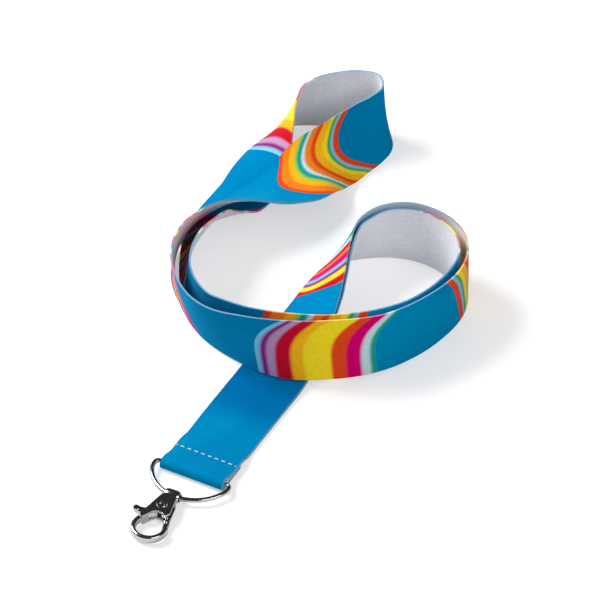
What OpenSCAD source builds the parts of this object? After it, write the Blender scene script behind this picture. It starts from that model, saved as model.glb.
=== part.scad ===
// Neck lanyard: one printed ribbon laid in two loops, a wire D-ring held in its sewn fold
// and a trigger hook with a spring gate. Floor at z = 0, units are millimetres.

/* [Ribbon] */
// Width of the woven ribbon
ribbon_w = 25; // [22:0.5:28]
// Thickness of one ply
ribbon_t = 0.65; // [0.5:0.05:0.75]
// Scale of the laid loops on the floor
lay_scale = 1; // [0.95:0.01:1.15]
// Distance of the stitch row behind the bar
stitch_back = 9.5; // [8:0.5:11]
// Number of stitches across the ribbon
stitch_count = 8; // [6:1:9]
// Sewing thread diameter
thread_d = 0.45; // [0.35:0.05:0.5]

/* [D-ring] */
// Wire diameter of the D-ring
ring_wire = 1.8; // [1.6:0.1:2]
// Depth of the D-ring from bar to front, on the wire centre line
ring_depth = 13.8; // [13:0.2:15]

/* [Hook] */
// Length from the eye centre to the outside of the hook
hook_len = 24.8; // [24.6:0.2:27]
// Thickness of the hook body
hook_t = 4.4; // [4.2:0.1:4.8]
// Radius of the hook bend on its centre line
bend_r = 5.8; // [5.5:0.1:6.1]
// Gate angle, 0 is shut and positive is open
gate_open = 0; // [0:1:22]

/* [Hidden] */
rest = 0.02;
ply_gap = 0.08;
ply = ribbon_t + ply_gap;
half_w = ribbon_w / 2;
wire_r = ring_wire / 2;
bar_fit = 0.06;
wrap_in = wire_r + bar_fit + ribbon_t / 2;
wrap_out = wrap_in + ply;
bar_z = rest + wrap_out + ribbon_t / 2;
laid_x = -37.8;
laid_y = -93.1;
shift_x = -0.6;
shift_y = 14.5;
bar_x = laid_x + shift_x;
bar_y = laid_y + shift_y;
tail_yaw = -28;
tail_end = stitch_back + 2.5;

// laid route of the ribbon middle: x, y, lift of the lower edge, roll
// roll 0 is flat with the print up, 90 stands with the right-hand edge on top
route = [
  [-28.4, -75.4, ply, 0], [-24.3, -67.7, ply, 0], [-17.5, -55.4, ply, 0], [-10, -42.2, 0.9, 1],
  [-5, -33, 1.2, 8], [-1.4, -25, 1.3, 17], [1.8, -18, 1.2, 25], [5, -10.4, 1.1, 34],
  [7.7, -2.6, 1, 43], [10.5, 5.4, 0.9, 52], [14, 13, 0.8, 61], [19, 19.4, 0.6, 71],
  [26, 23.6, 0.5, 80], [33, 25.2, 0.4, 86], [40.5, 24.8, 0.3, 90], [48, 22, 0.2, 90],
  [54.6, 16.8, 0.2, 90], [59.2, 9.6, 0.2, 90], [60.8, 2, 0.2, 90], [59.9, -5.4, 0.2, 90],
  [57, -12.5, 0.2, 90], [51.8, -19.6, 0.2, 89], [45, -26.4, 0.2, 87], [38, -32, 0.5, 86],
  [31, -36.6, 1.1, 85], [24, -39.6, 1.7, 83], [17, -41.8, 2.5, 81], [10, -43, 3, 80],
  [3, -43.2, 2.8, 80], [-4, -42.6, 2.6, 81], [-11, -41, 2.4, 85], [-18, -38.2, 1.9, 91],
  [-25, -33.8, 0.9, 98], [-32, -28.4, 0.4, 103], [-38, -21.6, 0.3, 104], [-42.4, -13, 0.3, 102],
  [-45, -3.4, 0.3, 98], [-45.8, 5, 0.3, 90], [-44.9, 13, 0.3, 81], [-42.6, 20.6, 0.3, 72],
  [-39, 27.6, 1.3, 63], [-34, 33.4, 2.6, 54], [-27.6, 38, 3.6, 45], [-20.8, 41.6, 4.9, 34],
  [-13.8, 45, 6, 23], [-7, 48.6, 8, 11], [-0.6, 53.4, 9.4, -3], [5, 59, 7, -20],
  [10, 64.4, 3.4, -35], [15, 69.4, 0.9, -46], [20, 74, 0.3, -54], [25, 78.2, 0.3, -60],
  [29.6, 83, 0.3, -70], [31.6, 89, 0.3, -84], [28.4, 94.6, 0.3, -96], [21.4, 96.4, 0.3, -98],
  [13.6, 96, 0.3, -94], [6, 94.8, 0.3, -86], [-1, 91.8, 0.3, -74], [-6, 85.6, 0.3, -61],
  [-9.8, 77.8, 0.3, -45], [-12.8, 70.6, 0.2, -31], [-15.4, 64, 0.1, -20], [-18, 57.6, 0, -15],
  [-21.8, 51, 0, -15], [-26, 44.2, 0, -19], [-30.4, 36.8, 0, -32], [-34.6, 29, 0.2, -48],
  [-37.4, 20.4, 0.3, -60], [-39.8, 11.4, 0.3, -72], [-40.8, 2.2, 0.3, -81], [-40, -6.8, 0.3, -89],
  [-37, -15, 0.3, -95], [-32.2, -21.8, 0.3, -98], [-26.2, -26.8, 1.2, -98],
  [-18.6, -32.3, 2.1, -94], [-10.4, -36.4, 2.5, -87], [-3.6, -38.4, 2.7, -83],
  [3.2, -39.4, 2.8, -82], [10, -39.4, 2.6, -82], [17, -38.2, 2.3, -83], [24, -36, 1.7, -85],
  [31, -32.8, 1.1, -87], [38, -28.4, 0.5, -89], [44.4, -23, 0.2, -90], [50, -17, 0.2, -90],
  [54.4, -10.4, 0.2, -90], [57.2, -3.6, 0.2, -90], [57.6, 3, 0.2, -90], [55.6, 9.4, 0.2, -90],
  [51.2, 15.2, 0.2, -90], [45, 19.6, 0.2, -90], [38, 21.8, 0.2, -88], [31, 21.8, 0.1, -84],
  [25, 19.8, 0.1, -77], [19.8, 17, 0.1, -70], [15.2, 11.6, 0.1, -61], [11.5, 4.6, 0.1, -52],
  [8.6, -3.2, 0.1, -43], [5.8, -10.8, 0.1, -34], [2.4, -18.2, 0.1, -25], [-1.1, -25.2, 0.1, -17],
  [-4.9, -33, 0.1, -8], [-10, -42.2, 0.05, -1], [-17.5, -55.4, 0, 0], [-24.3, -67.7, 0, 0],
  [-28.4, -75.4, 0, 0]];

kw = ribbon_w / 25;
ring_fit = half_w + 0.9;
ring_corner = 1.5;
ring_hw = ring_fit + ring_corner;
ring_side = 8;
ring_cx = ring_hw - ring_side;
ring_d2 = ring_depth - ring_corner;
ring_front = (ring_cx * ring_cx + ring_d2 * ring_d2 - ring_side * ring_side) / (2 * (ring_d2 - ring_side));
ring_turn = atan2(ring_front - ring_depth + ring_corner, ring_cx);
eye_along = -4;
eye_x = ring_front * sin(eye_along);
eye_y = ring_front - ring_depth - ring_front * cos(eye_along);
eye_hole = wire_r + 0.55;
eye_len = 6;
eye_r = bar_z - rest;
hook_yaw = -88;
hook_z = rest + hook_t / 2;
plate = 0.9;
slot_h = hook_t - 2 * plate;
lever_t = 1.4;
lever_z = plate + 0.1;
reach = 17.6;
pin_x = hook_len - reach;
pin_y = -0.4;
pin_r = 1.2;
pin_run = 0.05;
pin_press = 0.02;
bar_w = 1.9;
bar_h = hook_t - 1.2;
bend_x = hook_len - bar_w / 2 - bend_r;
tip_x = bend_x - 1.4;
// the shank runs from the plates and meets the bend as a tangent
root = [bend_x - bend_r - 0.25, 2.1 - bend_r];
root_d = norm([bend_x - root.x, root.y]);
shank_q = atan2(root.y, root.x - bend_x) + acos(bend_r / root_d);
shank = [bend_x + bend_r * cos(shank_q), bend_r * sin(shank_q)];
spring_r = 0.14;
coil_r = 1.62;
peg = [4.12, 3.91];

function cross_roll(t, r) =
  let (h = norm([t.x, t.y]), s = [t.y, -t.x, 0] / h, u = cross(s, t))
  cos(r) * s + sin(r) * u;
function height(p) = rest + p[2] + half_w * abs(sin(p[3])) + ribbon_t / 2 * abs(cos(p[3]));
function spot(p) = [bar_x + (p.x - laid_x) * lay_scale, bar_y + (p.y - laid_y) * lay_scale, height(p), p[3]];
function blend(a, b, c, d, t) =
  0.5 * (2 * b + (c - a) * t + (2 * a - 5 * b + 4 * c - d) * t * t + (3 * b - a - 3 * c + d) * t * t * t);
laid = [for (p = route) spot(p)];
last = len(laid) - 1;
step = 3;
fine = [for (i = [0:last - 1]) for (k = [0:step - 1])
    blend(laid[max(i - 1, 0)], laid[i], laid[i + 1], laid[min(i + 2, last)], k / step), laid[last]];
nf = len(fine) - 1;
function at(i) = [fine[i].x, fine[i].y, fine[i].z];
function dir(i) = let (d = at(min(i + 1, nf)) - at(max(i - 1, 0))) d / norm(d);
// each rib: middle, direction across, direction of travel
laid_ribs = [for (i = [0:nf]) [at(i), cross_roll(dir(i), fine[i][3]), dir(i)]];

// tail frame: x across the ribbon, y away from the ring
ax = [cos(tail_yaw), sin(tail_yaw), 0];
ay = [-sin(tail_yaw), cos(tail_yaw), 0];
function tail(y, z) = [bar_x, bar_y, 0] + ay * y + [0, 0, z];
z1 = rest + ribbon_t / 2;
function ease(t) = t * t * (3 - 2 * t);
function wrap(r) = [for (q = [90:15:270]) tail(r * cos(q), bar_z + r * sin(q))];
// upper run of one ply from the sewn stack to the bar, then round it and back under
function run_top(r, level, low) = concat(
  [for (y = [19:-1.5:13]) tail(y, z1 + low + (level - low) * ease((20 - y) / 8))],
  [for (y = [11.5, 9.5, 7.5]) tail(y, z1 + level)],
  [for (y = [6, 4.8, 3.6, 2.4, 1.2]) tail(y, z1 + level + (bar_z + r - z1 - level) * ease((7 - y) / 7))]);
function run_low(r, level) = concat(
  [for (y = [1.2, 2.4, 3.6, 4.8, 6]) tail(y, z1 + level + (bar_z - r - z1 - level) * ease((7 - y) / 7))],
  [for (y = [7.5, 9.5, tail_end]) tail(y, z1 + level)]);
function flip(v) = [for (i = [len(v) - 1:-1:0]) v[i]];
path_b = concat(run_top(wrap_in, 2 * ply, 0), wrap(wrap_in), run_low(wrap_in, ply));
path_a = flip(concat(run_top(wrap_out, 3 * ply, ply), wrap(wrap_out), run_low(wrap_out, 0)));
function ribs(v, w) = [for (i = [0:len(v) - 1])
    let (d = v[min(i + 1, len(v) - 1)] - v[max(i - 1, 0)]) [v[i], w, d / norm(d)]];
all_ribs = concat(ribs(path_a, ax), laid_ribs, ribs(path_b, -ax));

cols = 2;
module strip(rb) {
  n = len(rb);
  m = 2 * (cols + 1);
  pts = [for (r = rb) let (nn = cross(r[1], r[2]) * ribbon_t / 2) for (s = [1, -1]) for (k = [0:cols])
      r[0] + r[1] * half_w * s * (2 * k / cols - 1) + nn * s];
  sides = [for (i = [0:n - 2]) for (j = [0:m - 1])
      let (a = i * m + j, b = i * m + (j + 1) % m)
      each [[a, b, b + m], [a, b + m, a + m]]];
  ends = [for (k = [0:cols - 1]) each [[k + 1, k, m - 1 - k], [k + 1, m - 1 - k, m - 2 - k]]];
  top = (n - 1) * m;
  caps = [for (f = ends) [f[2] + top, f[1] + top, f[0] + top]];
  polyhedron(points = pts, faces = concat(sides, ends, caps), convexity = 20);
}
// round wire swept along a list of points
module wire(v, r, q = 8) {
  n = len(v);
  pts = [for (i = [0:n - 1])
      let (d = v[min(i + 1, n - 1)] - v[max(i - 1, 0)], t = d / norm(d),
           s0 = abs(t.z) > 0.8 ? cross(t, [0, 1, 0]) : cross(t, [0, 0, 1]), s = s0 / norm(s0), u = cross(s, t))
      for (k = [0:q - 1]) v[i] + r * (cos(360 * k / q) * s + sin(360 * k / q) * u)];
  polyhedron(points = pts, faces = concat(
      [for (i = [0:n - 2]) for (k = [0:q - 1])
          let (a = i * q + k, b = i * q + (k + 1) % q) each [[a, b, b + q], [a, b + q, a + q]]],
      [[for (k = [q - 1:-1:0]) k]], [[for (k = [0:q - 1]) (n - 1) * q + k]]), convexity = 6);
}
module tail_frame() translate([bar_x, bar_y, 0]) rotate(tail_yaw) children();
module hook_frame() tail_frame() translate([eye_x, eye_y, 0]) rotate(hook_yaw) children();

stack = 4 * ribbon_t + 3 * ply_gap;
pitch = (ribbon_w - 3) / stitch_count;
mid_z = rest + stack / 2;
top_z = rest + stack + thread_d / 2 - 0.03;
low_z = rest + thread_d / 2;
lock = thread_d * 0.7;
// side 1 is the upper thread, side -1 the lower one; they hook round each other in the stack
function stitch(side, outer) = [for (i = [0:stitch_count]) let (x = -half_w + 1.5 + i * pitch) each
    [[x - 0.85, stitch_back, outer], [x - 0.6, stitch_back + side * lock, (outer + mid_z) / 2],
     [x - lock, stitch_back + side * lock, mid_z - side * lock * 0.5],
     [x, stitch_back, mid_z - side * lock],
     [x + lock, stitch_back - side * lock, mid_z - side * lock * 0.5],
     [x + 0.6, stitch_back - side * lock, (outer + mid_z) / 2], [x + 0.85, stitch_back, outer]]];

module ribbon() color("#1584ae") strip(all_ribs);
module needle_thread() color("#dfe9ee") tail_frame() wire(stitch(1, top_z), thread_d / 2);
module bobbin_thread() color("#dfe9ee") tail_frame() wire(stitch(-1, low_z), thread_d / 2);

// neighbouring lengths of wire differ by a hair in thickness and run into each other
module ring_arc(cx, cy, r, from, turn, wr, lap)
  translate([cx, cy, bar_z]) rotate(from - lap) rotate_extrude(angle = turn + 2 * lap, $fn = 96)
    translate([r, 0]) circle(wr, $fn = 24);
module d_ring() color("#9a9c9f") tail_frame() {
  translate([-ring_fit, 0, bar_z]) rotate([0, 90, 0]) cylinder(r = wire_r, h = 2 * ring_fit, $fn = 24);
  ring_arc(ring_fit, -ring_corner, ring_corner, 0, 90, wire_r - 0.02, 6);
  ring_arc(-ring_fit, -ring_corner, ring_corner, 90, 90, wire_r - 0.02, 6);
  ring_arc(ring_cx, -ring_corner, ring_side, -ring_turn, ring_turn, wire_r, 0);
  ring_arc(-ring_cx, -ring_corner, ring_side, 180, ring_turn, wire_r, 0);
  ring_arc(0, ring_front - ring_depth, ring_front, -180 + ring_turn, 180 - 2 * ring_turn, wire_r - 0.02, 1);
}

module bar_profile(trim = 0) offset(r = 0.9 - trim, $fn = 24) square([bar_w - 1.8, bar_h - 1.8], center = true);
module plate_shape() offset(r = 0.6, $fn = 24) polygon([[1.8, -1.6], [1.8, 1.6], [3.2, 2.4],
  [pin_x + 3, 3.6], [pin_x + 4, 3.1], [pin_x + 3.2, 1.6], [pin_x + 3, 0], [pin_x + 3.4, -1.4],
  [root.x - 0.2, root.y + 1.1], [root.x + 2.8, root.y - 0.5], [root.x + 2.6, root.y - 1.1], [3.2, -2.4]]);
module eye_shape() rotate_extrude($fn = 48) polygon([[0, -eye_len / 2], [eye_r - 0.6, -eye_len / 2],
  [eye_r - 0.2, 0.6 - eye_len / 2], [eye_r, 1.5 - eye_len / 2], [eye_r, eye_len / 2 - 1.5],
  [eye_r - 0.2, eye_len / 2 - 0.6], [eye_r - 0.6, eye_len / 2], [0, eye_len / 2]]);
module clip_body() color("#a9abae") hook_frame() {
  difference() {
    union() {
      translate([0, 0, bar_z]) rotate([90, 0, 0]) eye_shape();
      translate([0, 0, rest]) linear_extrude(hook_t) plate_shape();
      translate([root.x, root.y, hook_z]) rotate(atan2(shank.y - root.y, shank.x - root.x))
        rotate([90, 0, 90]) linear_extrude(norm(shank - root) + 0.5) bar_profile(0.04);
    }
    translate([0, eye_len / 2 + 1, bar_z]) rotate([90, 0, 0]) cylinder(r = eye_hole, h = eye_len + 2, $fn = 48);
    translate([pin_x - coil_r - 1.18, -0.01, rest + plate]) cube([20, 20, slot_h]);
    translate([pin_x - coil_r - 1.18, -20, rest + plate]) cube([8.8, 20, slot_h]);
    translate([pin_x, pin_y, -1]) cylinder(r = pin_r - pin_press, h = 10, $fn = 48);
    translate([pin_x, pin_y, rest - 0.01]) cylinder(r1 = pin_r + 0.62, r2 = pin_r - pin_press, h = 0.6, $fn = 48);
  }
  translate([bend_x, 0, hook_z]) rotate(shank_q) rotate_extrude(angle = 90 - shank_q, $fn = 96)
    translate([bend_r, 0]) bar_profile();
  difference() {
    translate([tip_x, bend_r, hook_z]) rotate([90, 0, 90]) linear_extrude(bend_x - tip_x + 0.4) bar_profile(0.04);
    translate([tip_x - 1, bend_r - 3, rest + lever_z - 0.15]) cube([2.3, 3.3, lever_t + 0.3]);
  }
}

module clip_rivet() color("#b9bbbe") hook_frame() translate([pin_x, pin_y, 0]) difference() {
  union() {
    translate([0, 0, rest + 0.05]) cylinder(r = pin_r, h = hook_t - 0.05, $fn = 48);
    translate([0, 0, rest + 0.05]) cylinder(r1 = pin_r + 0.55, r2 = pin_r, h = 0.55, $fn = 48);
    translate([0, 0, rest + hook_t]) cylinder(r1 = pin_r + 0.9, r2 = pin_r + 0.6, h = 0.45, $fn = 48);
  }
  translate([0, 0, rest + hook_t - 0.2]) cylinder(r1 = 0.5, r2 = 0.9, h = 0.7, $fn = 48);
}

// lever points are given about the pin
gate_tip = [tip_x + 0.65 - pin_x, bend_r - pin_y];
module lever_shape() {
  circle(r = 2.5, $fn = 48);
  offset(r = 0.5, $fn = 24) polygon([[-0.6, 1.2], [2.2, bend_r - pin_y - 2.5], [6, bend_r - pin_y - 0.9],
    [gate_tip.x - 0.5, gate_tip.y - 0.6], [gate_tip.x - 0.5, gate_tip.y - 1],
    [6, bend_r - pin_y - 1.8], [3.2, bend_r - pin_y - 3.4], [1.4, 0.2]]);
  offset(r = 0.6, $fn = 24) polygon([[0.2, -1.5], [1.8, -0.9], [4.5, -4.8], [4.4, -8.1], [3.4, -8.3], [2.9, -5]]);
}
module clip_lever() color("#b2b4b7") hook_frame() translate([pin_x, pin_y, rest + lever_z]) rotate(-gate_open)
  difference() {
    union() {
      linear_extrude(lever_t) lever_shape();
      translate([peg.x, peg.y, lever_t - 0.1]) cylinder(r = 0.5, h = 1, $fn = 24);
      translate([3.9, -8.2, lever_t / 2]) cylinder(r = 1.15, h = lever_t / 2 + 0.5, $fn = 24);
    }
    translate([0, 0, -1]) cylinder(r = pin_r + pin_run, h = 5, $fn = 48);
  }

coil_from = 215;
coil_to = 1043;
coil_z = rest + lever_z + lever_t + 0.08 + spring_r;
coil_top = rest + plate + slot_h - 0.08 - spring_r;
function coil_at(q) = [coil_r * cos(q), coil_r * sin(q), coil_z + (coil_top - coil_z) * (q - coil_from) / (coil_to - coil_from)];
module clip_spring() color("#8f9194") hook_frame() translate([pin_x, pin_y, 0]) wire(concat(
  [coil_at(coil_from) + 2.2 * [sin(coil_from), -cos(coil_from), 0]],
  [coil_at(coil_from) + 0.5 * [sin(coil_from), -cos(coil_from), 0]],
  [for (q = [coil_from:17:coil_to]) coil_at(q)],
  [coil_at(coil_to) + 0.6 * [-sin(coil_to), cos(coil_to), 0], coil_at(coil_to) + 6 * [-sin(coil_to), cos(coil_to), 0]]),
  spring_r, 8);

ribbon();
needle_thread();
bobbin_thread();
d_ring();
clip_body();
clip_lever();
clip_rivet();
clip_spring();
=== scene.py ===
"""Neck lanyard: printed ribbon in two loops, D-ring and trigger hook on a white floor."""
from math import cos, pi, radians, sin

import bmesh
import bpy
from mathutils import Matrix, Vector


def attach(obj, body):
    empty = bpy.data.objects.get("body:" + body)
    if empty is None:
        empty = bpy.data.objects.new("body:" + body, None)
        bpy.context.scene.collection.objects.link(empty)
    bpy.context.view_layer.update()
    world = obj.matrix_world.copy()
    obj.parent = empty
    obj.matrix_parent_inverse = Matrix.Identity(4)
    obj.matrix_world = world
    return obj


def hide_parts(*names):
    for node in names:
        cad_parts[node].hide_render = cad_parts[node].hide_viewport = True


bl_info = {
    "name": "Neck lanyard",
    "version": (1, 0, 0),
    "blender": (4, 5, 0),
    "location": "View3D > Sidebar > Lanyard",
    "description": "Builds the ribbon, its stitches, the ring, the trigger hook and their stage",
    "category": "Object",
}

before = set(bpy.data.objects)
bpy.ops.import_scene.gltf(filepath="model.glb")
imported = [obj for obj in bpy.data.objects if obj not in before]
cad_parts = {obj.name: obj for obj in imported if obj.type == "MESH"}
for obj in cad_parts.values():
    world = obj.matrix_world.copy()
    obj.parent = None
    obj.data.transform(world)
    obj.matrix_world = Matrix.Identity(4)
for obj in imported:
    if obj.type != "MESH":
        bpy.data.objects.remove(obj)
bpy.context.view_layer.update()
MM = 0.001


# ---------------------------------------------------------------- settings


class RibbonSettings(bpy.types.PropertyGroup):
    """Sizes and dyes of the ribbon"""

    width: bpy.props.FloatProperty(
        name="Ribbon width", description="Width of the woven ribbon",
        default=0.025, min=0.01, max=0.04, unit="LENGTH")
    thickness: bpy.props.FloatProperty(
        name="Ply thickness", description="Thickness of one ply of the ribbon",
        default=0.00065, min=0.0002, max=0.0015, unit="LENGTH")
    ground: bpy.props.FloatVectorProperty(
        name="Ground dye", description="Dye of the ribbon between the stripes",
        default=(0.0, 0.205, 0.44), min=0, max=1, size=3, subtype="COLOR")
    back: bpy.props.FloatVectorProperty(
        name="Unprinted back", description="Colour of the undyed side",
        default=(0.83, 0.84, 0.89), min=0, max=1, size=3, subtype="COLOR")
    yarn: bpy.props.FloatProperty(
        name="Yarn pitch", description="Distance between neighbouring yarns of the weave",
        default=0.0004, min=0.0002, max=0.001, unit="LENGTH")


class ThreadSettings(bpy.types.PropertyGroup):
    """Sewing thread of the tail"""

    colour: bpy.props.FloatVectorProperty(
        name="Thread colour", description="Colour of both sewing threads",
        default=(0.72, 0.78, 0.82), min=0, max=1, size=3, subtype="COLOR")


class MetalSettings(bpy.types.PropertyGroup):
    """Plating of the ring and the hook"""

    plating: bpy.props.FloatVectorProperty(
        name="Plating", description="Colour of the nickel plating",
        default=(0.60, 0.60, 0.62), min=0, max=1, size=3, subtype="COLOR")
    polish: bpy.props.FloatProperty(
        name="Roughness", description="Roughness of the polished plating",
        default=0.13, min=0.02, max=0.6, subtype="FACTOR")


class StageSettings(bpy.types.PropertyGroup):
    """Camera, lamps and floor"""

    elevation: bpy.props.FloatProperty(
        name="Camera elevation", description="Angle of the camera above the horizon",
        default=radians(42.7), min=0, max=radians(90), subtype="ANGLE")
    distance: bpy.props.FloatProperty(
        name="Camera distance", description="Distance from the camera to the middle of the view",
        default=3.0, min=0.5, max=10, unit="LENGTH")
    span: bpy.props.FloatProperty(
        name="Width in view", description="Width of the floor that the camera takes in",
        default=0.2182, min=0.05, max=2, unit="LENGTH")
    key: bpy.props.FloatProperty(
        name="Key lamp", description="Power of the large soft lamp behind on the left",
        default=23.0, min=0, max=100, unit="POWER")


# ---------------------------------------------------------------- materials


class Signal:
    """One number that varies over a surface; sums on it add Math nodes."""

    def __init__(self, finish, socket):
        self.finish, self.socket = finish, socket

    def math(self, operation, *others, swap=False):
        values = (others[0], self) if swap else (self, *others)
        return self.finish.node("ShaderNodeMath", {"operation": operation}, *values)

    def __add__(self, other):
        return self.math("ADD", other)

    def __sub__(self, other):
        return self.math("SUBTRACT", other)

    def __rsub__(self, other):
        return self.math("SUBTRACT", other, swap=True)

    def __mul__(self, other):
        return self.math("MULTIPLY", other)

    def __truediv__(self, other):
        return self.math("DIVIDE", other)

    def __lt__(self, other):
        return self.math("LESS_THAN", other)

    __radd__, __rmul__ = __add__, __mul__

    def sin(self):
        return self.math("SINE")

    def floor(self):
        return self.math("FLOOR")

    def high(self, other):
        return self.math("MAXIMUM", other)

    def band(self, start, end):
        """0 below start, 1 above end, smooth between."""
        return self.finish.node(
            "ShaderNodeMapRange", {"interpolation_type": "SMOOTHSTEP"}, self, start, end, 0.0, 1.0)


class Finish:
    """A material, or a world, built node by node."""

    def __init__(self, name, owner=None):
        self.material = owner or bpy.data.materials.new(name)
        self.material.use_nodes = True
        self.tree = self.material.node_tree
        self.tree.nodes.clear()

    def feed(self, socket, value):
        if isinstance(value, Signal):
            self.tree.links.new(value.socket, socket)
        elif hasattr(socket.default_value, "__len__") and len(socket.default_value) == 4:
            socket.default_value = (*value[:3], 1)
        else:
            socket.default_value = value

    def node(self, kind, settings=None, *values, out=0, **named):
        made = self.tree.nodes.new(kind)
        for key, value in (settings or {}).items():
            if key == "stops":
                ramp = made.color_ramp
                while len(ramp.elements) < len(value):
                    ramp.elements.new(1)
                for element, (place, colour) in zip(ramp.elements, value):
                    element.position = place
                    element.color = (*colour, 1)
            else:
                setattr(made, key, value)
        for socket, value in zip(made.inputs, values):
            self.feed(socket, value)
        for key, value in named.items():
            self.feed(made.inputs[key.replace("_", " ")], value)
        return Signal(self, made.outputs[out])

    def mix(self, factor, first, second, blend="MIX"):
        """Colours mixed by factor."""
        made = self.tree.nodes.new("ShaderNodeMix")
        made.data_type, made.blend_type = "RGBA", blend
        for index, value in ((0, factor), (6, first), (7, second)):
            self.feed(made.inputs[index], value)
        return Signal(self, made.outputs[2])

    def place(self, kind="Object"):
        made = self.tree.nodes.new("ShaderNodeTexCoord")
        return Signal(self, made.outputs[kind])

    def axes(self, vector):
        made = self.tree.nodes.new("ShaderNodeSeparateXYZ")
        self.feed(made.inputs[0], vector)
        return [Signal(self, made.outputs[k]) for k in range(3)]

    def noise(self, vector, scale, detail=2.0, roughness=0.5):
        return self.node("ShaderNodeTexNoise", None, Vector=vector, Scale=scale,
                         Detail=detail, Roughness=roughness)

    def bump(self, height, distance, strength=1.0):
        return self.node(
            "ShaderNodeBump", None, Strength=strength, Distance=distance, Height=height)

    def end(self, shader):
        made = self.tree.nodes.new("ShaderNodeOutputMaterial")
        self.tree.links.new(shader.socket, made.inputs["Surface"])
        return self.material


def dye(code):
    """Linear colour of a six-digit colour code."""
    parts = [int(code[k:k + 2], 16) / 255 for k in (0, 2, 4)]
    return tuple(p / 12.92 if p <= 0.04045 else ((p + 0.055) / 1.055) ** 2.4 for p in parts)


MAGENTA, ROSE, CRIMSON = dye("d4006c"), dye("e0588e"), dye("c8102c")
SCARLET, ORANGE, AMBER = dye("e2481c"), dye("f08020"), dye("f8b41e")
YELLOW, LIME, GREEN = dye("f6da28"), dye("a8c43c"), dye("3fa05a")
TEAL, SKY, PALE = dye("1e9e90"), dye("7cc0de"), dye("c4dce4")
PLUM, LILAC = dye("8c2278"), dye("b890b8")
# The second of these is painted shade: a darker blue laid over one stretch of the tail
BRIGHT_DYE, TAIL_SHADE_BLUE = (0.0, 0.3, 0.54), (0.0, 0.11, 0.32)
# mm along the ribbon: pitch of the stripe bundles, and where the stripes begin and end
BUNDLE_PITCH, PRINT_FROM, PRINT_TO = 80.0, 118, 812
GRAIN = 900  # scale of the cloth's mottling


def stripes(bands, edge=0.016):
    """Ramp stops for bands of (width, colour), with soft joints."""
    total = sum(width for width, _ in bands)
    stops, at = [], 0.0
    for width, colour in bands:
        share = width / total
        soft = min(edge, share / 3)
        stops += [(at + soft, colour), (at + share - soft, colour)]
        at += share
    return stops


def print_and_weave(finish, settings):
    """Colour of the printed side, with painted shade on part of the tail, the place across and
    along it in mm, and its grain.
    """
    across, along, _ = finish.axes(finish.node("ShaderNodeUVMap", {"uv_map": "lay"}))
    w, s = across * 1000, along * 1000
    ground = finish.mix(finish.noise(finish.place(), 26, 2, 0.5).band(0.38, 0.62) * 0.5,
                        tuple(settings.ground), BRIGHT_DYE)
    # Painted shade: from 46 to 110 mm along the ribbon, on the upper tail, the ground is darkened
    # towards a deeper blue, so the tail near the fold reads lighter like a painted sheen
    tail_shade = s.band(46, 62) * (1 - s.band(95, 110))
    ground = finish.mix(tail_shade * 0.75, ground, TAIL_SHADE_BLUE)
    period = BUNDLE_PITCH
    cell = (s / period).floor()
    tilt = (cell * 2.4 + 0.6).sin()
    curl = (cell * 1.7 + 2.2).sin()
    local = s - cell * period - period / 2
    bent = local + w * tilt * 0.55 + (w * 0.16 + cell).sin() * 3.4 * curl + w * w * curl * 0.045
    half = 19 + curl * 4
    at = (bent / half) * 0.5 + 0.5
    warm = finish.node("ShaderNodeValToRGB", {"stops": stripes([
        (3, SCARLET), (6, ORANGE), (4, AMBER), (2, LIME), (3, TEAL), (2, PALE), (4, ORANGE),
        (3, SCARLET), (5, AMBER), (3, YELLOW), (2, GREEN), (2, SKY), (4, SCARLET)])}, at)
    pink = finish.node("ShaderNodeValToRGB", {"stops": stripes([
        (5, MAGENTA), (4, ROSE), (2, PALE), (2, TEAL), (4, CRIMSON), (3, YELLOW), (2, PLUM),
        (2, SKY), (4, MAGENTA), (2, ORANGE), (3, CRIMSON), (3, PALE), (2, GREEN)])}, at)
    sun = finish.node("ShaderNodeValToRGB", {"stops": stripes([
        (2, TEAL), (3, PALE), (5, MAGENTA), (5, SCARLET), (9, YELLOW), (4, AMBER), (5, CRIMSON),
        (3, LILAC), (2, PLUM), (2, SKY)])}, at)
    turn = cell + 1 - ((cell + 1) / 3).floor() * 3
    bundle = finish.mix((turn < 0.5) * 1.0, finish.mix((turn < 1.5) * 1.0, pink, sun), warm)
    inside = at.band(-0.004, 0.004) * (1 - at.band(0.996, 1.004))
    body = s.band(PRINT_FROM, PRINT_FROM + 0.5) * (1 - s.band(PRINT_TO, PRINT_TO + 0.5))
    colour = finish.mix(inside * body, ground, bundle)
    mottle = finish.noise(finish.place(), GRAIN, 2, 0.6)
    colour = finish.mix(mottle.band(0.4, 0.6) * 0.6, colour, (0.84, 0.88, 0.92), "MULTIPLY")
    return colour, w, s, mottle


def weave(finish, settings, w, s, mottle):
    """Height of the woven yarns, 0 to 1."""
    pitch = settings.yarn * 1000
    rib = (s * (2 * pi / pitch)).sin() * 0.5 + 0.5
    warp = (w * (2 * pi / (pitch * 0.8))).sin() * 0.5 + 0.5
    return rib * 0.6 + warp * 0.25 + mottle * 0.5


def ribbon_print(settings):
    finish = Finish("ribbon_print")
    colour, w, s, mottle = print_and_weave(finish, settings)
    height = weave(finish, settings, w, s, mottle)
    return finish.end(finish.node(
        "ShaderNodeBsdfPrincipled", None, Base_Color=colour, Roughness=0.34 + mottle * 0.16,
        Sheen_Weight=0.22, Sheen_Roughness=0.35, Sheen_Tint=(0.1, 0.6, 0.9, 1.0),
        Specular_IOR_Level=0.0, Normal=finish.bump(height, 0.00005, 0.5)))


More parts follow.
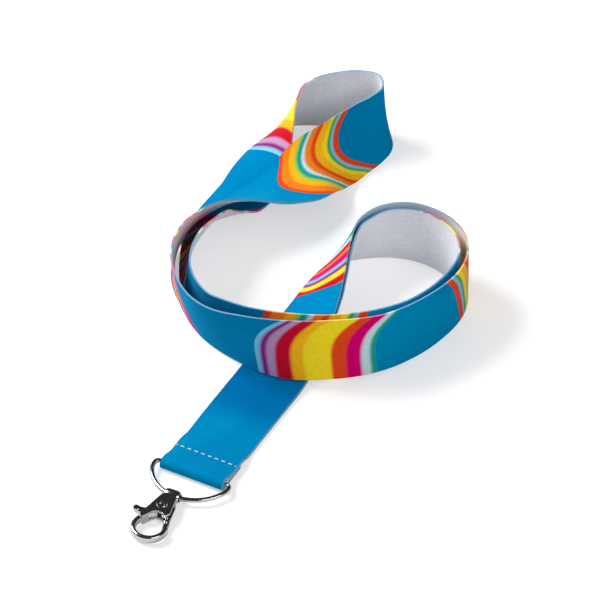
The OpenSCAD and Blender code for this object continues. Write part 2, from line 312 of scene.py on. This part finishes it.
def ribbon_back(settings):
    finish = Finish("ribbon_back")
    across, along, _ = finish.axes(finish.node("ShaderNodeUVMap", {"uv_map": "lay"}))
    w, s = across * 1000, along * 1000
    mottle = finish.noise(finish.place(), GRAIN, 2, 0.6)
    soft = finish.noise(finish.place(), 60, 2, 0.5)
    height = weave(finish, settings, w, s, mottle)
    white = tuple(settings.back)
    colour = finish.mix(soft.band(0.3, 0.7) * 0.5, white, tuple(0.94 * c for c in white))
    colour = finish.mix(height * 0.12, colour, tuple(0.8 * c for c in white))
    colour = finish.mix(mottle.band(0.4, 0.6) * 0.5, colour, (0.84, 0.84, 0.86), "MULTIPLY")
    return finish.end(finish.node(
        "ShaderNodeBsdfPrincipled", None, Base_Color=colour, Roughness=0.55 + mottle * 0.15,
        Sheen_Weight=0.25, Sheen_Roughness=0.4, Specular_IOR_Level=0.4,
        Normal=finish.bump(height, 0.00005, 0.5)))


def ribbon_edge(settings):
    finish = Finish("ribbon_edge")
    colour, w, s, mottle = print_and_weave(finish, settings)
    knots = (s * (2 * pi / (settings.yarn * 2600))).sin() * 0.5 + 0.5
    colour = finish.mix(0.08 + knots * 0.16, colour, tuple(settings.back))
    return finish.end(finish.node(
        "ShaderNodeBsdfPrincipled", None, Base_Color=colour, Roughness=0.6 + mottle * 0.2,
        Sheen_Weight=0.3, Normal=finish.bump(knots, 0.00008, 0.6)))


def sewing_thread(settings):
    finish = Finish("sewing_thread")
    x, y, z = finish.axes(finish.place())
    twist = ((x * 0.8 + y * 0.6 + z * 1.6) * (2 * pi / 0.00028)).sin() * 0.5 + 0.5
    lint = finish.noise(finish.place(), 4000, 2, 0.6)
    base = tuple(settings.colour)
    colour = finish.mix(twist * 0.35, base, tuple(0.6 * c for c in base))
    return finish.end(finish.node(
        "ShaderNodeBsdfPrincipled", None, Base_Color=colour, Roughness=0.5 + lint * 0.2,
        Sheen_Weight=0.3, Normal=finish.bump(twist, 0.00004, 0.6)))


def nickel(name, settings, shade=1.0, rough=1.0, cast=0.25):
    """Bright nickel plating; cast is how much of the casting's waviness shows."""
    finish = Finish(name)
    place = finish.place()
    wave = finish.noise(place, 380, 2, 0.5)
    fine = finish.noise(place, 5200, 3, 0.6)
    scuff = finish.noise(place, 1500, 4, 0.7).band(0.58, 0.78)
    base = tuple(shade * c for c in settings.plating)
    colour = finish.mix(scuff * 0.35, base, tuple(0.82 * c for c in base))
    roughness = settings.polish * rough + fine * 0.05 + scuff * 0.08
    return finish.end(finish.node(
        "ShaderNodeBsdfPrincipled", None, Base_Color=colour, Metallic=1.0, Roughness=roughness,
        Normal=finish.bump(wave * cast + fine * 0.05, 0.0004, 0.35)))


# ---------------------------------------------------------------- ribbon

# millimetres: height of the lowest edge, place of the route, and the ring's bar in the fold
REST = 0.02
SHIFT = Vector((-0.6, 14.5, 0))
BAR = Vector((-38.4, -78.6, 0))
TAIL_YAW = radians(-28)
BAR_Z = 2.36
WRAP_IN, WRAP_OUT = 1.285, 2.015  # radius of each ply's middle round the bar
PLY, HALF_PLY = 0.73, 0.325  # step between stacked plies, and half of one
TAIL_END = 12.0

# laid route of the ribbon's middle: x, y, lift of the lower edge, roll in degrees
ROUTE = [
    (-28.4, -75.4, 0.73, 0), (-24.3, -67.7, 0.73, 0), (-17.5, -55.4, 0.73, 0), (-10, -42.2, 0.9, 1),
    (-5, -33, 1.2, 8), (-1.4, -25, 1.3, 17), (1.8, -18, 1.2, 25), (5, -10.4, 1.1, 34),
    (7.7, -2.6, 1, 43), (10.5, 5.4, 0.9, 52), (14, 13, 0.8, 61), (19, 19.4, 0.6, 71),
    (26, 23.6, 0.5, 80), (33, 25.2, 0.4, 86), (40.5, 24.8, 0.3, 90), (48, 22, 0.2, 90),
    (54.6, 16.8, 0.2, 90), (59.2, 9.6, 0.2, 90), (60.8, 2, 0.2, 90), (59.9, -5.4, 0.2, 90),
    (57, -12.5, 0.2, 90), (51.8, -19.6, 0.2, 89), (45, -26.4, 0.2, 87), (38, -32, 0.5, 86),
    (31, -36.6, 1.1, 85), (24, -39.6, 1.7, 83), (17, -41.8, 2.5, 81), (10, -43, 3, 80),
    (3, -43.2, 2.8, 80), (-4, -42.6, 2.6, 81), (-11, -41, 2.4, 85), (-18, -38.2, 1.9, 91),
    (-25, -33.8, 0.9, 98), (-32, -28.4, 0.4, 103), (-38, -21.6, 0.3, 104), (-42.4, -13, 0.3, 102),
    (-45, -3.4, 0.3, 98), (-45.8, 5, 0.3, 90), (-44.9, 13, 0.3, 81), (-42.6, 20.6, 0.3, 72),
    (-39, 27.6, 1.3, 63), (-34, 33.4, 2.6, 54), (-27.6, 38, 3.6, 45), (-20.8, 41.6, 4.9, 34),
    (-13.8, 45, 6, 23), (-7, 48.6, 8, 11), (-0.6, 53.4, 9.4, -3), (5, 59, 7, -20),
    (10, 64.4, 3.4, -35), (15, 69.4, 0.9, -46), (20, 74, 0.3, -54), (25, 78.2, 0.3, -60),
    (29.6, 83, 0.3, -70), (31.6, 89, 0.3, -84), (28.4, 94.6, 0.3, -96), (21.4, 96.4, 0.3, -98),
    (13.6, 96, 0.3, -94), (6, 94.8, 0.3, -86), (-1, 91.8, 0.3, -74), (-6, 85.6, 0.3, -61),
    (-9.8, 77.8, 0.3, -45), (-12.8, 70.6, 0.2, -31), (-15.4, 64, 0.1, -20), (-18, 57.6, 0, -15),
    (-21.8, 51, 0, -15), (-26, 44.2, 0, -19), (-30.4, 36.8, 0, -32), (-34.6, 29, 0.2, -48),
    (-37.4, 20.4, 0.3, -60), (-39.8, 11.4, 0.3, -72), (-40.8, 2.2, 0.3, -81), (-40, -6.8, 0.3, -89),
    (-37, -15, 0.3, -95), (-32.2, -21.8, 0.3, -98), (-26.2, -26.8, 1.2, -98),
    (-18.6, -32.3, 2.1, -94), (-10.4, -36.4, 2.5, -87),
    (-3.6, -38.4, 2.7, -83), (3.2, -39.4, 2.8, -82), (10, -39.4, 2.6, -82), (17, -38.2, 2.3, -83),
    (24, -36, 1.7, -85), (31, -32.8, 1.1, -87), (38, -28.4, 0.5, -89), (44.4, -23, 0.2, -90),
    (50, -17, 0.2, -90), (54.4, -10.4, 0.2, -90), (57.2, -3.6, 0.2, -90), (57.6, 3, 0.2, -90),
    (55.6, 9.4, 0.2, -90), (51.2, 15.2, 0.2, -90), (45, 19.6, 0.2, -90), (38, 21.8, 0.2, -88),
    (31, 21.8, 0.1, -84), (25, 19.8, 0.1, -77), (19.8, 17, 0.1, -70), (15.2, 11.6, 0.1, -61),
    (11.5, 4.6, 0.1, -52), (8.6, -3.2, 0.1, -43), (5.8, -10.8, 0.1, -34), (2.4, -18.2, 0.1, -25),
    (-1.1, -25.2, 0.1, -17), (-4.9, -33, 0.1, -8), (-10, -42.2, 0.05, -1), (-17.5, -55.4, 0, 0),
    (-24.3, -67.7, 0, 0), (-28.4, -75.4, 0, 0),
]


def cross_roll(way, roll):
    """Direction across the ribbon for its direction of travel and roll."""
    flat = Vector((way.x, way.y, 0)).length
    side = Vector((way.y, -way.x, 0)) / flat
    return cos(roll) * side + sin(roll) * side.cross(way)


def between(a, b, c, d, t):
    return 0.5 * (2 * b + (c - a) * t + (2 * a - 5 * b + 4 * c - d) * t * t
                  + (3 * b - a - 3 * c + d) * t ** 3)


def laid_ribs(width, thick, fine):
    """(middle, across, travel) along the laid part, in millimetres."""
    spots = []
    for x, y, lift, roll in ROUTE:
        lean = radians(roll)
        high = REST + lift + width / 2 * abs(sin(lean)) + thick / 2 * abs(cos(lean))
        spots.append(Vector((x + SHIFT.x, y + SHIFT.y, high, roll)))
    last = len(spots) - 1
    rows = [between(spots[max(i - 1, 0)], spots[i], spots[i + 1], spots[min(i + 2, last)], k / fine)
            for i in range(last) for k in range(fine)] + [spots[last]]
    ribs = []
    for i, row in enumerate(rows):
        way = (rows[min(i + 1, len(rows) - 1)] - rows[max(i - 1, 0)]).to_3d().normalized()
        ribs.append((row.to_3d(), cross_roll(way, radians(row[3])), way))
    return ribs


def ease(t):
    return t * t * (3 - 2 * t)


def fold_path(radius, low, top, under):
    """One ply from the sewn stack over the bar and back under it: low and top are its
    levels before and after it clears the stack, under its level below."""
    along = Vector((-sin(TAIL_YAW), cos(TAIL_YAW), 0))
    base = REST + HALF_PLY

    def tail(y, z):
        return BAR + along * y + Vector((0, 0, z))

    over = [tail(y, base + low + (top - low) * ease((20 - y) / 8)) for y in
            (19, 18, 17, 16, 15, 14, 13, 12.4)]
    over += [tail(y, base + top) for y in (11.5, 10.5, 9.5, 8.5, 7.5)]
    over += [tail(y, base + top + (BAR_Z + radius - base - top) * ease((7 - y) / 7))
             for y in (6.6, 6, 5.4, 4.8, 4.2, 3.6, 3, 2.4, 1.8, 1.2, 0.6)]
    turn = [tail(radius * cos(radians(q)), BAR_Z + radius * sin(radians(q)))
            for q in range(90, 271, 10)]
    back = [tail(y, base + under + (BAR_Z - radius - base - under) * ease((7 - y) / 7))
            for y in (0.6, 1.2, 1.8, 2.4, 3, 3.6, 4.2, 4.8, 5.4, 6, 6.6)]
    back += [tail(y, base + under) for y in (7.5, 8.5, 9.5, 10.5, TAIL_END)]
    return over + turn + back


def ribs_of(points, across):
    ribs = []
    for i, point in enumerate(points):
        way = points[min(i + 1, len(points) - 1)] - points[max(i - 1, 0)]
        ribs.append((point, across, way.normalized()))
    return ribs


def all_ribs(width, thick):
    across = Vector((cos(TAIL_YAW), sin(TAIL_YAW), 0))
    outer = fold_path(WRAP_OUT, PLY, 3 * PLY, 0)[::-1]
    inner = fold_path(WRAP_IN, 0, 2 * PLY, PLY)
    return ribs_of(outer, across) + laid_ribs(width, thick, 6) + ribs_of(inner, -across)


def new_object(name, bm, *materials):
    mesh = bpy.data.meshes.new(name)
    bm.to_mesh(mesh)
    bm.free()
    for material in materials:
        mesh.materials.append(material)
    made = bpy.data.objects.new(name, mesh)
    bpy.context.collection.objects.link(made)
    return made


def keep_modifiers(piece):
    """Turns a piece's modifiers into its mesh."""
    graph = bpy.context.evaluated_depsgraph_get()
    mesh = bpy.data.meshes.new_from_object(piece.evaluated_get(graph))
    piece.modifiers.clear()
    piece.data = mesh
    return piece


def smooth(piece, angle=35):
    mesh = piece.data
    mesh.shade_smooth()
    mesh.set_sharp_from_angle(angle=radians(angle))


class LANYARD_OT_ribbon(bpy.types.Operator):
    """Lays the printed ribbon: both plies of the tail, the two loops and the half twist"""

    bl_idname = "lanyard.ribbon"
    bl_label = "Ribbon"

    across = 8

    def execute(self, context):
        settings = context.scene.lanyard_ribbon
        width, thick = settings.width / MM, settings.thickness / MM
        ribs = all_ribs(width, thick)
        count = len(ribs) - 1
        travelled = [0.0]
        for a, b in zip(ribs, ribs[1:]):
            travelled.append(travelled[-1] + (b[0] - a[0]).length)
        bm = bmesh.new()
        bmesh.ops.create_grid(bm, x_segments=self.across, y_segments=count, size=0.5)
        lay = bm.loops.layers.uv.new("lay")
        for face in bm.faces:
            for loop in face.loops:
                u, row = loop.vert.co.x, round((loop.vert.co.y + 0.5) * count)
                loop[lay].uv = (u * width * MM, travelled[row] * MM)
        for vert in bm.verts:
            middle, across, _ = ribs[round((vert.co.y + 0.5) * count)]
            vert.co = (middle + across * (vert.co.x * width)) * MM
        ribbon = new_object("ribbon_cloth", bm, ribbon_print(settings), ribbon_back(settings),
                            ribbon_edge(settings))
        shell = ribbon.modifiers.new("ply", "SOLIDIFY")
        shell.thickness, shell.offset = settings.thickness, 0
        shell.material_offset, shell.material_offset_rim = 1, 2
        smooth(keep_modifiers(ribbon), 50)
        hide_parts("ribbon")
        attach(ribbon, "strap")
        return {"FINISHED"}


class LANYARD_OT_stitches(bpy.types.Operator):
    """Gives both sewing threads of the tail their twisted finish"""

    bl_idname = "lanyard.stitches"
    bl_label = "Stitches"

    def execute(self, context):
        thread = sewing_thread(context.scene.lanyard_thread)
        for node in ("needle_thread", "bobbin_thread"):
            repaint(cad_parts[node], thread)
        return {"FINISHED"}


def repaint(piece, material):
    if not piece.material_slots:
        piece.data.materials.append(material)
    for place in piece.material_slots:
        place.material = material


# ---------------------------------------------------------------- hardware


def round_edges(piece, width, segments=3, angle=32):
    """Welds a CAD node's triangles and rounds its sharp edges."""
    weld = piece.modifiers.new("weld", "WELD")
    weld.merge_threshold = 1e-6
    bevel = piece.modifiers.new("round", "BEVEL")
    bevel.width, bevel.segments, bevel.limit_method = width, segments, "ANGLE"
    bevel.angle_limit = radians(angle)


class LANYARD_OT_ring(bpy.types.Operator):
    """Plates the D-ring"""

    bl_idname = "lanyard.ring"
    bl_label = "D-ring"

    def execute(self, context):
        plating = nickel("ring_nickel", context.scene.lanyard_metal, cast=0.1)
        repaint(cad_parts["d_ring"], plating)
        return {"FINISHED"}


class LANYARD_OT_hook(bpy.types.Operator):
    """Plates the trigger hook, its gate, rivet and spring"""

    bl_idname = "lanyard.hook"
    bl_label = "Trigger hook"

    def execute(self, context):
        settings = context.scene.lanyard_metal
        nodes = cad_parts
        repaint(nodes["clip_body"], nickel("body_nickel", settings))
        repaint(nodes["clip_lever"], nickel("lever_nickel", settings))
        repaint(nodes["clip_rivet"], nickel("rivet_nickel", settings, 1.05, 0.9, 0.1))
        repaint(nodes["clip_spring"], nickel("spring_steel", settings, 0.75, 1.6, 0.05))
        round_edges(nodes["clip_body"], 0.00042, 4)
        round_edges(nodes["clip_lever"], 0.00025)
        round_edges(nodes["clip_rivet"], 0.00012)
        return {"FINISHED"}


# ---------------------------------------------------------------- stage


def soft_lamp(name, place, aim, size, power, colour=(1, 1, 1)):
    lamp = bpy.data.lights.new(name, "AREA")
    lamp.shape, lamp.size, lamp.size_y = "RECTANGLE", size[0], size[1]
    lamp.energy, lamp.color = power, colour
    made = bpy.data.objects.new(name, lamp)
    made.matrix_world = Matrix.Translation(place) @ (
        Vector(aim) - Vector(place)).to_track_quat("-Z", "Y").to_matrix().to_4x4()
    bpy.context.collection.objects.link(made)
    return made


def seen_directly(finish):
    """1 for rays that show the background itself or its reflection."""
    path = finish.tree.nodes.new("ShaderNodeLightPath")
    camera, glossy, through = (Signal(finish, path.outputs[k]) for k in
                               ("Is Camera Ray", "Is Glossy Ray", "Is Transmission Ray"))
    return camera, glossy, through


class LANYARD_OT_stage(bpy.types.Operator):
    """Sets the white floor, the world, the soft lamps and the camera"""

    bl_idname = "lanyard.stage"
    bl_label = "Stage"

    def execute(self, context):
        settings = context.scene.lanyard_stage
        self.camera(context, settings)
        self.floor()
        self.world(context)
        soft_lamp("key", (-0.95, 0.5, 0.95), (0, 0, 0), (0.7, 0.7), settings.key)
        soft_lamp("fill", (0.6, -0.9, 0.8), (0, 0, 0), (0.9, 0.6), settings.key * 0.2)
        context.scene.view_settings.view_transform = "Standard"
        return {"FINISHED"}

    def camera(self, context, settings):
        lens = bpy.data.cameras.new("camera")
        lens.sensor_width = 36
        lens.lens = 36 * settings.distance / settings.span
        lens.clip_end = 50
        made = bpy.data.objects.new("camera", lens)
        aim = SHIFT * MM
        back = Vector((0, -cos(settings.elevation), sin(settings.elevation)))
        made.matrix_world = Matrix.Translation(aim + back * settings.distance) @ (
            -back).to_track_quat("-Z", "Y").to_matrix().to_4x4()
        context.collection.objects.link(made)
        context.scene.camera = made

    def floor(self):
        finish = Finish("white_floor")
        camera, glossy, through = seen_directly(finish)
        plain = finish.node("ShaderNodeBsdfDiffuse", None, Color=(0.7, 0.7, 0.7))
        glow = finish.node("ShaderNodeEmission", None, Color=(1, 1, 1), Strength=0.42)
        lit = finish.node("ShaderNodeAddShader", None, plain, glow)
        shown = camera.high(glossy * 0.35).high(through)
        bm = bmesh.new()
        bmesh.ops.create_grid(bm, x_segments=1, y_segments=1, size=4)
        made = new_object("floor", bm, finish.end(
            finish.node("ShaderNodeMixShader", None, shown, plain, lit)))

    def world(self, context):
        world = bpy.data.worlds.new("studio")
        context.scene.world = world
        finish = Finish("studio", world)
        camera, glossy, through = seen_directly(finish)
        _, _, up = finish.axes(finish.place("Generated"))
        white = finish.node("ShaderNodeBackground", None, Color=(1, 1, 1), Strength=1.0)
        room = finish.node("ShaderNodeBackground", None, Color=(1, 1, 1), Strength=0.42)
        dark = finish.node("ShaderNodeBackground", None, Color=(1, 1, 1), Strength=0.03)
        seen = finish.node("ShaderNodeMixShader", None, up.band(0.0, 0.16), white, dark)
        mixed = finish.node("ShaderNodeMixShader", None, camera.high(through), room, white)
        both = finish.node("ShaderNodeMixShader", None, glossy, mixed, seen)
        out = finish.tree.nodes.new("ShaderNodeOutputWorld")
        finish.feed(out.inputs["Surface"], both)


class LANYARD_PT_sidebar(bpy.types.Panel):
    """Lists the lanyard's pieces and their settings"""

    bl_label = "Lanyard"
    bl_idname = "LANYARD_PT_sidebar"
    bl_space_type = "VIEW_3D"
    bl_region_type = "UI"
    bl_category = "Lanyard"

    def draw(self, context):
        scene = context.scene
        for group, operators in GROUPS:
            settings = getattr(scene, group)
            for key in settings.bl_rna.properties.keys():
                if key not in ("rna_type", "name"):
                    self.layout.prop(settings, key)
            for operator in operators:
                self.layout.operator(operator)


GROUPS = (
    ("lanyard_stage", ("lanyard.stage",)),
    ("lanyard_ribbon", ("lanyard.ribbon",)),
    ("lanyard_thread", ("lanyard.stitches",)),
    ("lanyard_metal", ("lanyard.ring", "lanyard.hook")),
)
SETTINGS = {"lanyard_stage": StageSettings, "lanyard_ribbon": RibbonSettings,
            "lanyard_thread": ThreadSettings, "lanyard_metal": MetalSettings}
CLASSES = (*SETTINGS.values(), LANYARD_OT_stage, LANYARD_OT_ribbon, LANYARD_OT_stitches,
           LANYARD_OT_ring, LANYARD_OT_hook, LANYARD_PT_sidebar)


def register():
    for made in CLASSES:
        bpy.utils.register_class(made)
    for name, group in SETTINGS.items():
        setattr(bpy.types.Scene, name, bpy.props.PointerProperty(type=group))


def unregister():
    for name in SETTINGS:
        delattr(bpy.types.Scene, name)
    for made in reversed(CLASSES):
        bpy.utils.unregister_class(made)


def main():
    register()
    bpy.ops.lanyard.stage()
    bpy.ops.lanyard.ribbon()
    bpy.ops.lanyard.stitches()
    bpy.ops.lanyard.ring()
    bpy.ops.lanyard.hook()


if __name__ == "__main__":
    main()
